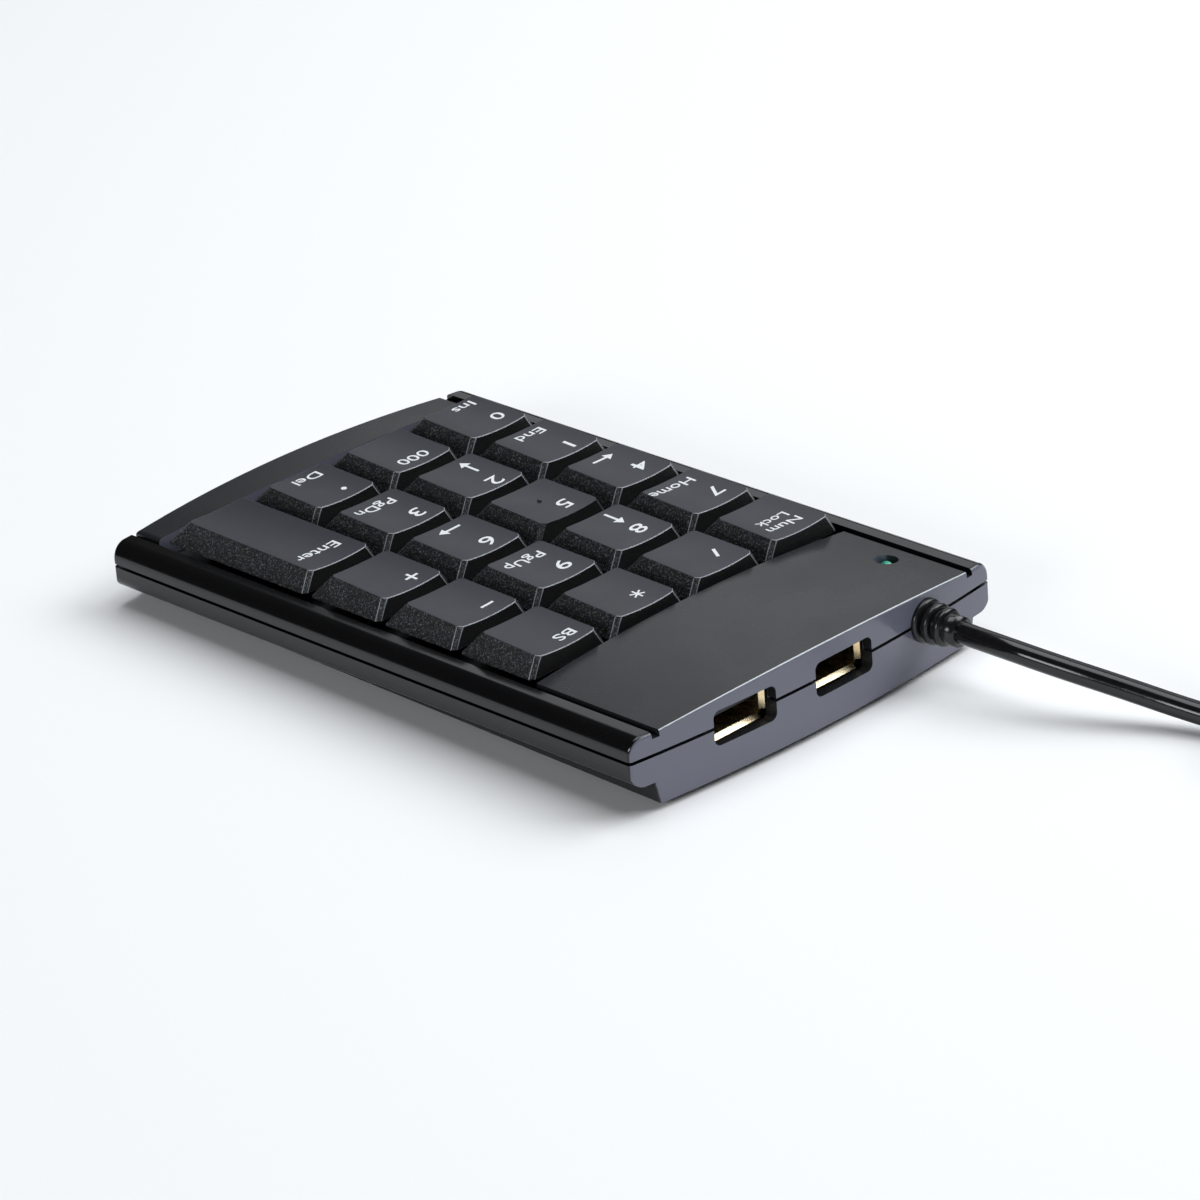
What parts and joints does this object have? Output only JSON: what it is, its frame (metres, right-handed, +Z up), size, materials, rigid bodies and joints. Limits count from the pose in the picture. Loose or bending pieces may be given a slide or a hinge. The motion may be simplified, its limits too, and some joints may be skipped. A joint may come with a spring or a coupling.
{
  "type": "numeric keypad",
  "caption": "Wedge-profile desktop numeric keypad with sprung square keys, a tall enter key, USB ports in the back edge and a cord with a plug.",
  "frame": {"origin": "centre of the keypad's footprint, on the surface it stands on", "axes": "+X to the user's right, +Y from the user towards the ports, +Z up"},
  "size_m": [0.1462, 0.241, 0.0179],
  "materials": {
    "shell_plastic": "dark charcoal, satin panels with glossy rails",
    "key_plastic": "satin dark grey tops, rough sparkled skirts",
    "guide_plastic": "matte black",
    "dome_rubber": "translucent grey silicone",
    "film": "clear film with printed tracks",
    "plate_steel": "zinc-plated sheet",
    "board_laminate": "green solder mask",
    "chip_black": "moulded black with tinned legs",
    "can_steel": "bright can",
    "capacitor_sleeve": "printed sleeve",
    "chip_ceramic": "ceramic with tinned ends",
    "connector_plastic": "natural nylon",
    "port_metal": "gold-flashed sheet",
    "port_insulator": "moulded insulator",
    "contact_gold": "gold plate",
    "led_green": "tinted clear resin",
    "screw_steel": "black-zinc steel",
    "foot_rubber": "matte black rubber",
    "cord_pvc": "glossy black PVC",
    "wire_pvc": "coloured insulation",
    "tie_fabric": "woven hook-and-loop strap",
    "plug_metal": "nickel-plated sheet"
  },
  "bodies": {
    "case": {"backing_plate": "plate_steel", "board_screws": "screw_steel", "bottom_shell": "shell_plastic", "cable_header": "connector_plastic", "cable_leads": "wire_pvc", "capacitors": "capacitor_sleeve", "case_screws": "screw_steel", "chip_passives": "chip_ceramic", "cord_coil": "cord_pvc", "cord_tail": "cord_pvc", "cord_tie": "tie_fabric", "cord_tube": "cord_pvc", "crystal": "can_steel", "dome_sheet": "dome_rubber", "hub_board": "board_laminate", "hub_controller": "chip_black", "key_controller": "chip_black", "key_frame": "guide_plastic", "membrane_lower": "film", "membrane_spacer": "film", "membrane_tail": "film", "membrane_upper": "film", "plug_contacts": "contact_gold", "plug_grip": "cord_pvc", "plug_shell": "plug_metal", "plug_tongue": "port_insulator", "port_contacts_left": "contact_gold", "port_contacts_right": "contact_gold", "port_shell_left": "port_metal", "port_shell_right": "port_metal", "port_tongue_left": "port_insulator", "port_tongue_right": "port_insulator", "rubber_feet": "foot_rubber", "status_led": "led_green", "strain_relief": "cord_pvc", "tail_connector": "connector_plastic", "top_shell": "shell_plastic"},
    "key_num_lock": {"key_num_lock": "key_plastic"},
    "key_divide": {"key_divide": "key_plastic"},
    "key_multiply": {"key_multiply": "key_plastic"},
    "key_backspace": {"key_backspace": "key_plastic"},
    "key_7": {"key_7": "key_plastic"},
    "key_8": {"key_8": "key_plastic"},
    "key_9": {"key_9": "key_plastic"},
    "key_minus": {"key_minus": "key_plastic"},
    "key_4": {"key_4": "key_plastic"},
    "key_5": {"key_5": "key_plastic"},
    "key_6": {"key_6": "key_plastic"},
    "key_plus": {"key_plus": "key_plastic"},
    "key_1": {"key_1": "key_plastic"},
    "key_2": {"key_2": "key_plastic"},
    "key_3": {"key_3": "key_plastic"},
    "key_enter": {"key_enter": "key_plastic"},
    "key_0": {"key_0": "key_plastic"},
    "key_000": {"key_000": "key_plastic"},
    "key_decimal": {"key_decimal": "key_plastic"}
  },
  "joints": [
    {"name": "key_num_lock_press", "type": "slide", "parent": "case", "child": "key_num_lock", "axis": [0, 0.0183, -0.9998], "range_m": [0, 0.0025], "stiffness_N_per_m": 180, "springref_m": -0.0012, "deforming": ["dome_sheet"]},
    {"name": "key_divide_press", "type": "slide", "parent": "case", "child": "key_divide", "axis": [0, 0.0183, -0.9998], "range_m": [0, 0.0025], "stiffness_N_per_m": 180, "springref_m": -0.0012, "deforming": ["dome_sheet"]},
    {"name": "key_multiply_press", "type": "slide", "parent": "case", "child": "key_multiply", "axis": [0, 0.0183, -0.9998], "range_m": [0, 0.0025], "stiffness_N_per_m": 180, "springref_m": -0.0012, "deforming": ["dome_sheet"]},
    {"name": "key_backspace_press", "type": "slide", "parent": "case", "child": "key_backspace", "axis": [0, 0.0183, -0.9998], "range_m": [0, 0.0025], "stiffness_N_per_m": 180, "springref_m": -0.0012, "deforming": ["dome_sheet"]},
    {"name": "key_7_press", "type": "slide", "parent": "case", "child": "key_7", "axis": [0, 0.0183, -0.9998], "range_m": [0, 0.0025], "stiffness_N_per_m": 180, "springref_m": -0.0012, "deforming": ["dome_sheet"]},
    {"name": "key_8_press", "type": "slide", "parent": "case", "child": "key_8", "axis": [0, 0.0183, -0.9998], "range_m": [0, 0.0025], "stiffness_N_per_m": 180, "springref_m": -0.0012, "deforming": ["dome_sheet"]},
    {"name": "key_9_press", "type": "slide", "parent": "case", "child": "key_9", "axis": [0, 0.0183, -0.9998], "range_m": [0, 0.0025], "stiffness_N_per_m": 180, "springref_m": -0.0012, "deforming": ["dome_sheet"]},
    {"name": "key_minus_press", "type": "slide", "parent": "case", "child": "key_minus", "axis": [0, 0.0183, -0.9998], "range_m": [0, 0.0025], "stiffness_N_per_m": 180, "springref_m": -0.0012, "deforming": ["dome_sheet"]},
    {"name": "key_4_press", "type": "slide", "parent": "case", "child": "key_4", "axis": [0, 0.0183, -0.9998], "range_m": [0, 0.0025], "stiffness_N_per_m": 180, "springref_m": -0.0012, "deforming": ["dome_sheet"]},
    {"name": "key_5_press", "type": "slide", "parent": "case", "child": "key_5", "axis": [0, 0.0183, -0.9998], "range_m": [0, 0.0025], "stiffness_N_per_m": 180, "springref_m": -0.0012, "deforming": ["dome_sheet"]},
    {"name": "key_6_press", "type": "slide", "parent": "case", "child": "key_6", "axis": [0, 0.0183, -0.9998], "range_m": [0, 0.0025], "stiffness_N_per_m": 180, "springref_m": -0.0012, "deforming": ["dome_sheet"]},
    {"name": "key_plus_press", "type": "slide", "parent": "case", "child": "key_plus", "axis": [0, 0.0183, -0.9998], "range_m": [0, 0.0025], "stiffness_N_per_m": 180, "springref_m": -0.0012, "deforming": ["dome_sheet"]},
    {"name": "key_1_press", "type": "slide", "parent": "case", "child": "key_1", "axis": [0, 0.0183, -0.9998], "range_m": [0, 0.0025], "stiffness_N_per_m": 180, "springref_m": -0.0012, "deforming": ["dome_sheet"]},
    {"name": "key_2_press", "type": "slide", "parent": "case", "child": "key_2", "axis": [0, 0.0183, -0.9998], "range_m": [0, 0.0025], "stiffness_N_per_m": 180, "springref_m": -0.0012, "deforming": ["dome_sheet"]},
    {"name": "key_3_press", "type": "slide", "parent": "case", "child": "key_3", "axis": [0, 0.0183, -0.9998], "range_m": [0, 0.0025], "stiffness_N_per_m": 180, "springref_m": -0.0012, "deforming": ["dome_sheet"]},
    {"name": "key_enter_press", "type": "slide", "parent": "case", "child": "key_enter", "axis": [0, 0.0183, -0.9998], "range_m": [0, 0.0025], "stiffness_N_per_m": 180, "springref_m": -0.0012, "deforming": ["dome_sheet"]},
    {"name": "key_0_press", "type": "slide", "parent": "case", "child": "key_0", "axis": [0, 0.0183, -0.9998], "range_m": [0, 0.0025], "stiffness_N_per_m": 180, "springref_m": -0.0012, "deforming": ["dome_sheet"]},
    {"name": "key_000_press", "type": "slide", "parent": "case", "child": "key_000", "axis": [0, 0.0183, -0.9998], "range_m": [0, 0.0025], "stiffness_N_per_m": 180, "springref_m": -0.0012, "deforming": ["dome_sheet"]},
    {"name": "key_decimal_press", "type": "slide", "parent": "case", "child": "key_decimal", "axis": [0, 0.0183, -0.9998], "range_m": [0, 0.0025], "stiffness_N_per_m": 180, "springref_m": -0.0012, "deforming": ["dome_sheet"]}
  ]
}
